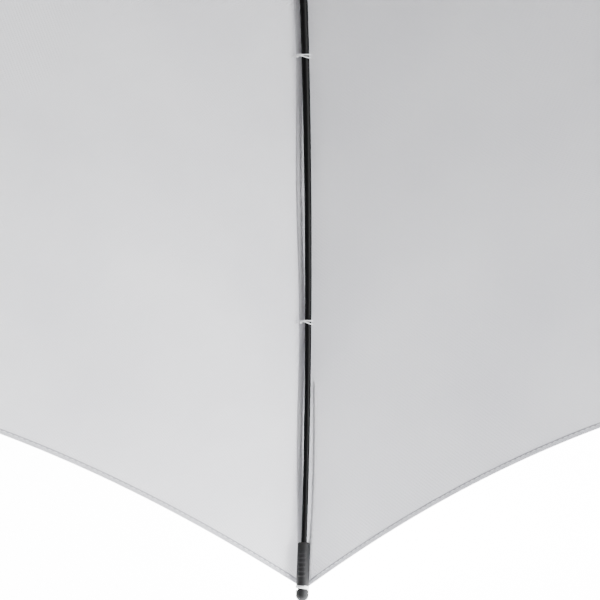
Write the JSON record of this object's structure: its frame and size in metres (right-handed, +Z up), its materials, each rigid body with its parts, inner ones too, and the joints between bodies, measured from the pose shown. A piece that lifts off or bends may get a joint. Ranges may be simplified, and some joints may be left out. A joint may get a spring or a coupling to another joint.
{
  "type": "umbrella reflector",
  "caption": "Open white photographic umbrella with curved ribs, stretchers, a sliding runner, a scalloped canopy and a round shaft that clamps in a lamp's umbrella holder.",
  "frame": {"origin": "middle of the clamping stretch of the shaft, on its axis", "axes": "-Y along the shaft to its free end, out of the hollow side of the canopy; +Z up, with rib 1 pointing straight down"},
  "size_m": [0.9372, 0.6308, 0.9372],
  "materials": {
    "white_woven_polyester": "matte",
    "black_fibreglass": "satin",
    "black_soft_rubber": "matte",
    "zinc_plated_steel": "satin",
    "black_lacquered_steel": "satin",
    "black_moulded_nylon": "matte",
    "spring_steel": "satin"
  },
  "bodies": {
    "shaft_assembly": {"shaft_tube": "black_lacquered_steel", "shaft_pins": "zinc_plated_steel", "top_notch": "black_moulded_nylon", "notch_wire": "zinc_plated_steel", "top_cap": "black_moulded_nylon", "canopy_washer": "zinc_plated_steel", "stop_ring": "spring_steel", "shaft_end_cap": "black_moulded_nylon"},
    "catch_lever": {"open_catch": "spring_steel"},
    "runner_slider": {"runner": "black_moulded_nylon", "runner_wire": "zinc_plated_steel"},
    "rib_arm_1": {"rib_1": "black_fibreglass", "rib_fittings_1": "zinc_plated_steel", "rib_tip_1": "black_soft_rubber"},
    "stretcher_arm_1": {"stretcher_1": "black_lacquered_steel"},
    "gore_1_left": {"canopy_1_left": "white_woven_polyester"},
    "gore_1_right": {"canopy_1_right": "white_woven_polyester"},
    "rib_arm_2": {"rib_2": "black_fibreglass", "rib_fittings_2": "zinc_plated_steel", "rib_tip_2": "black_soft_rubber"},
    "stretcher_arm_2": {"stretcher_2": "black_lacquered_steel"},
    "gore_2_left": {"canopy_2_left": "white_woven_polyester"},
    "gore_2_right": {"canopy_2_right": "white_woven_polyester"},
    "rib_arm_3": {"rib_3": "black_fibreglass", "rib_fittings_3": "zinc_plated_steel", "rib_tip_3": "black_soft_rubber"},
    "stretcher_arm_3": {"stretcher_3": "black_lacquered_steel"},
    "gore_3_left": {"canopy_3_left": "white_woven_polyester"},
    "gore_3_right": {"canopy_3_right": "white_woven_polyester"},
    "rib_arm_4": {"rib_4": "black_fibreglass", "rib_fittings_4": "zinc_plated_steel", "rib_tip_4": "black_soft_rubber"},
    "stretcher_arm_4": {"stretcher_4": "black_lacquered_steel"},
    "gore_4_left": {"canopy_4_left": "white_woven_polyester"},
    "gore_4_right": {"canopy_4_right": "white_woven_polyester"},
    "rib_arm_5": {"rib_5": "black_fibreglass", "rib_fittings_5": "zinc_plated_steel", "rib_tip_5": "black_soft_rubber"},
    "stretcher_arm_5": {"stretcher_5": "black_lacquered_steel"},
    "gore_5_left": {"canopy_5_left": "white_woven_polyester"},
    "gore_5_right": {"canopy_5_right": "white_woven_polyester"},
    "rib_arm_6": {"rib_6": "black_fibreglass", "rib_fittings_6": "zinc_plated_steel", "rib_tip_6": "black_soft_rubber"},
    "stretcher_arm_6": {"stretcher_6": "black_lacquered_steel"},
    "gore_6_left": {"canopy_6_left": "white_woven_polyester"},
    "gore_6_right": {"canopy_6_right": "white_woven_polyester"},
    "rib_arm_7": {"rib_7": "black_fibreglass", "rib_fittings_7": "zinc_plated_steel", "rib_tip_7": "black_soft_rubber"},
    "stretcher_arm_7": {"stretcher_7": "black_lacquered_steel"},
    "gore_7_left": {"canopy_7_left": "white_woven_polyester"},
    "gore_7_right": {"canopy_7_right": "white_woven_polyester"},
    "rib_arm_8": {"rib_8": "black_fibreglass", "rib_fittings_8": "zinc_plated_steel", "rib_tip_8": "black_soft_rubber"},
    "stretcher_arm_8": {"stretcher_8": "black_lacquered_steel"},
    "gore_8_left": {"canopy_8_left": "white_woven_polyester"},
    "gore_8_right": {"canopy_8_right": "white_woven_polyester"}
  },
  "joints": [
    {"name": "rib_1_fold", "type": "hinge", "parent": "shaft_assembly", "child": "rib_arm_1", "pos_m": [0, 0.51222, -0.009], "axis": [-1, 0, 0], "range_deg": [0, 62.09], "deforming": ["canopy_1_left", "canopy_1_right", "canopy_2_left", "canopy_2_right", "canopy_3_left", "canopy_3_right", "canopy_4_left", "canopy_4_right", "canopy_5_left", "canopy_5_right", "canopy_6_left", "canopy_6_right", "canopy_7_left", "canopy_7_right", "canopy_8_left", "canopy_8_right", "open_catch"]},
    {"name": "rib_2_fold", "type": "hinge", "parent": "shaft_assembly", "child": "rib_arm_2", "pos_m": [0.00636, 0.51222, -0.00636], "axis": [-0.7071, 0, -0.7071], "range_deg": [0, 62.1]},
    {"name": "rib_3_fold", "type": "hinge", "parent": "shaft_assembly", "child": "rib_arm_3", "pos_m": [0.009, 0.51222, 0], "axis": [0, 0, -1], "range_deg": [0, 62.1]},
    {"name": "rib_4_fold", "type": "hinge", "parent": "shaft_assembly", "child": "rib_arm_4", "pos_m": [0.00636, 0.51222, 0.00636], "axis": [0.7071, 0, -0.7071], "range_deg": [0, 62.1]},
    {"name": "rib_5_fold", "type": "hinge", "parent": "shaft_assembly", "child": "rib_arm_5", "pos_m": [0, 0.51222, 0.009], "axis": [1, 0, 0], "range_deg": [0, 62.1]},
    {"name": "rib_6_fold", "type": "hinge", "parent": "shaft_assembly", "child": "rib_arm_6", "pos_m": [-0.00636, 0.51222, 0.00636], "axis": [0.7071, 0, 0.7071], "range_deg": [0, 62.1]},
    {"name": "rib_7_fold", "type": "hinge", "parent": "shaft_assembly", "child": "rib_arm_7", "pos_m": [-0.009, 0.51222, 0], "axis": [0, 0, 1], "range_deg": [0, 62.1]},
    {"name": "rib_8_fold", "type": "hinge", "parent": "shaft_assembly", "child": "rib_arm_8", "pos_m": [-0.00636, 0.51222, -0.00636], "axis": [-0.7071, 0, 0.7071], "range_deg": [0, 62.1]},
    {"name": "stretcher_1_swing", "type": "hinge", "parent": "rib_arm_1", "child": "stretcher_arm_1", "pos_m": [0, 0.45192, -0.18315], "axis": [-1, 0, 0], "range_deg": [-124.19, 0]},
    {"name": "gore_1_left_furl", "type": "hinge", "parent": "rib_arm_1", "child": "gore_1_left", "pos_m": [-0.06425, 0.58719, -0.009], "axis": [0.1314, 0.3843, 0.9138], "range_deg": [0, 67.73]},
    {"name": "gore_1_right_furl", "type": "hinge", "parent": "rib_arm_1", "child": "gore_1_right", "pos_m": [0.06425, 0.58719, -0.009], "axis": [0.1314, -0.3843, -0.9138], "range_deg": [0, 67.73]},
    {"name": "stretcher_2_swing", "type": "hinge", "parent": "rib_arm_2", "child": "stretcher_arm_2", "pos_m": [0.12951, 0.45192, -0.12951], "axis": [-0.7071, 0, -0.7071], "range_deg": [-124.19, 0]},
    {"name": "gore_2_left_furl", "type": "hinge", "parent": "rib_arm_2", "child": "gore_2_left", "pos_m": [-0.03906, 0.58719, -0.05179], "axis": [-0.5532, 0.3843, 0.7391], "range_deg": [0, 67.73]},
    {"name": "gore_2_right_furl", "type": "hinge", "parent": "rib_arm_2", "child": "gore_2_right", "pos_m": [0.05179, 0.58719, 0.03906], "axis": [0.7391, -0.3843, -0.5532], "range_deg": [0, 67.73]},
    {"name": "stretcher_3_swing", "type": "hinge", "parent": "rib_arm_3", "child": "stretcher_arm_3", "pos_m": [0.18315, 0.45192, 0], "axis": [0, 0, -1], "range_deg": [-124.19, 0]},
    {"name": "gore_3_left_furl", "type": "hinge", "parent": "rib_arm_3", "child": "gore_3_left", "pos_m": [0.009, 0.58719, -0.06425], "axis": [-0.9138, 0.3843, 0.1314], "range_deg": [0, 67.73]},
    {"name": "gore_3_right_furl", "type": "hinge", "parent": "rib_arm_3", "child": "gore_3_right", "pos_m": [0.009, 0.58719, 0.06425], "axis": [0.9138, -0.3843, 0.1314], "range_deg": [0, 67.73]},
    {"name": "stretcher_4_swing", "type": "hinge", "parent": "rib_arm_4", "child": "stretcher_arm_4", "pos_m": [0.12951, 0.45192, 0.12951], "axis": [0.7071, 0, -0.7071], "range_deg": [-124.19, 0]},
    {"name": "gore_4_left_furl", "type": "hinge", "parent": "rib_arm_4", "child": "gore_4_left", "pos_m": [0.05179, 0.58719, -0.03906], "axis": [-0.7391, 0.3843, -0.5532], "range_deg": [0, 67.73]},
    {"name": "gore_4_right_furl", "type": "hinge", "parent": "rib_arm_4", "child": "gore_4_right", "pos_m": [-0.03906, 0.58719, 0.05179], "axis": [0.5532, -0.3843, 0.7391], "range_deg": [0, 67.73]},
    {"name": "stretcher_5_swing", "type": "hinge", "parent": "rib_arm_5", "child": "stretcher_arm_5", "pos_m": [0, 0.45192, 0.18315], "axis": [1, 0, 0], "range_deg": [-124.19, 0]},
    {"name": "gore_5_left_furl", "type": "hinge", "parent": "rib_arm_5", "child": "gore_5_left", "pos_m": [0.06425, 0.58719, 0.009], "axis": [-0.1314, 0.3843, -0.9138], "range_deg": [0, 67.73]},
    {"name": "gore_5_right_furl", "type": "hinge", "parent": "rib_arm_5", "child": "gore_5_right", "pos_m": [-0.06425, 0.58719, 0.009], "axis": [-0.1314, -0.3843, 0.9138], "range_deg": [0, 67.73]},
    {"name": "stretcher_6_swing", "type": "hinge", "parent": "rib_arm_6", "child": "stretcher_arm_6", "pos_m": [-0.12951, 0.45192, 0.12951], "axis": [0.7071, 0, 0.7071], "range_deg": [-124.19, 0]},
    {"name": "gore_6_left_furl", "type": "hinge", "parent": "rib_arm_6", "child": "gore_6_left", "pos_m": [0.03906, 0.58719, 0.05179], "axis": [0.5532, 0.3843, -0.7391], "range_deg": [0, 67.73]},
    {"name": "gore_6_right_furl", "type": "hinge", "parent": "rib_arm_6", "child": "gore_6_right", "pos_m": [-0.05179, 0.58719, -0.03906], "axis": [-0.7391, -0.3843, 0.5532], "range_deg": [0, 67.73]},
    {"name": "stretcher_7_swing", "type": "hinge", "parent": "rib_arm_7", "child": "stretcher_arm_7", "pos_m": [-0.18315, 0.45192, 0], "axis": [0, 0, 1], "range_deg": [-124.19, 0]},
    {"name": "gore_7_left_furl", "type": "hinge", "parent": "rib_arm_7", "child": "gore_7_left", "pos_m": [-0.009, 0.58719, 0.06425], "axis": [0.9138, 0.3843, -0.1314], "range_deg": [0, 67.73]},
    {"name": "gore_7_right_furl", "type": "hinge", "parent": "rib_arm_7", "child": "gore_7_right", "pos_m": [-0.009, 0.58719, -0.06425], "axis": [-0.9138, -0.3843, -0.1314], "range_deg": [0, 67.73]},
    {"name": "stretcher_8_swing", "type": "hinge", "parent": "rib_arm_8", "child": "stretcher_arm_8", "pos_m": [-0.12951, 0.45192, -0.12951], "axis": [-0.7071, 0, 0.7071], "range_deg": [-124.19, 0]},
    {"name": "gore_8_left_furl", "type": "hinge", "parent": "rib_arm_8", "child": "gore_8_left", "pos_m": [-0.05179, 0.58719, 0.03906], "axis": [0.7391, 0.3843, 0.5532], "range_deg": [0, 67.73]},
    {"name": "gore_8_right_furl", "type": "hinge", "parent": "rib_arm_8", "child": "gore_8_right", "pos_m": [0.03906, 0.58719, -0.05179], "axis": [-0.5532, -0.3843, -0.7391], "range_deg": [0, 67.73]},
    {"name": "runner_turn", "type": "hinge", "parent": "stretcher_arm_1", "child": "runner_slider", "pos_m": [0, 0.39163, -0.009], "axis": [-1, 0, 0], "range_deg": [0, 62.1]},
    {"name": "catch_press", "type": "hinge", "parent": "shaft_assembly", "child": "catch_lever", "pos_m": [0, 0.32033, 0], "axis": [-1, 0, 0], "range_deg": [0, 7.2], "stiffness_Nm_per_rad": 0.02, "springref_deg": -5.73}
  ],
  "couplings": [
    {"joint": "rib_2_fold", "follows": "rib_1_fold", "ratio": 1},
    {"joint": "rib_3_fold", "follows": "rib_1_fold", "ratio": 1},
    {"joint": "rib_4_fold", "follows": "rib_1_fold", "ratio": 1},
    {"joint": "rib_5_fold", "follows": "rib_1_fold", "ratio": 1},
    {"joint": "rib_6_fold", "follows": "rib_1_fold", "ratio": 1},
    {"joint": "rib_7_fold", "follows": "rib_1_fold", "ratio": 1},
    {"joint": "rib_8_fold", "follows": "rib_1_fold", "ratio": 1},
    {"joint": "stretcher_1_swing", "follows": "rib_1_fold", "ratio": -2},
    {"joint": "gore_1_left_furl", "follows": "rib_1_fold", "ratio": 1.0908},
    {"joint": "gore_1_right_furl", "follows": "rib_1_fold", "ratio": 1.0908},
    {"joint": "stretcher_2_swing", "follows": "rib_1_fold", "ratio": -2},
    {"joint": "gore_2_left_furl", "follows": "rib_1_fold", "ratio": 1.0908},
    {"joint": "gore_2_right_furl", "follows": "rib_1_fold", "ratio": 1.0908},
    {"joint": "stretcher_3_swing", "follows": "rib_1_fold", "ratio": -2},
    {"joint": "gore_3_left_furl", "follows": "rib_1_fold", "ratio": 1.0908},
    {"joint": "gore_3_right_furl", "follows": "rib_1_fold", "ratio": 1.0908},
    {"joint": "stretcher_4_swing", "follows": "rib_1_fold", "ratio": -2},
    {"joint": "gore_4_left_furl", "follows": "rib_1_fold", "ratio": 1.0908},
    {"joint": "gore_4_right_furl", "follows": "rib_1_fold", "ratio": 1.0908},
    {"joint": "stretcher_5_swing", "follows": "rib_1_fold", "ratio": -2},
    {"joint": "gore_5_left_furl", "follows": "rib_1_fold", "ratio": 1.0908},
    {"joint": "gore_5_right_furl", "follows": "rib_1_fold", "ratio": 1.0908},
    {"joint": "stretcher_6_swing", "follows": "rib_1_fold", "ratio": -2},
    {"joint": "gore_6_left_furl", "follows": "rib_1_fold", "ratio": 1.0908},
    {"joint": "gore_6_right_furl", "follows": "rib_1_fold", "ratio": 1.0908},
    {"joint": "stretcher_7_swing", "follows": "rib_1_fold", "ratio": -2},
    {"joint": "gore_7_left_furl", "follows": "rib_1_fold", "ratio": 1.0908},
    {"joint": "gore_7_right_furl", "follows": "rib_1_fold", "ratio": 1.0908},
    {"joint": "stretcher_8_swing", "follows": "rib_1_fold", "ratio": -2},
    {"joint": "gore_8_left_furl", "follows": "rib_1_fold", "ratio": 1.0908},
    {"joint": "gore_8_right_furl", "follows": "rib_1_fold", "ratio": 1.0908},
    {"joint": "runner_turn", "follows": "rib_1_fold", "ratio": 1}
  ]
}
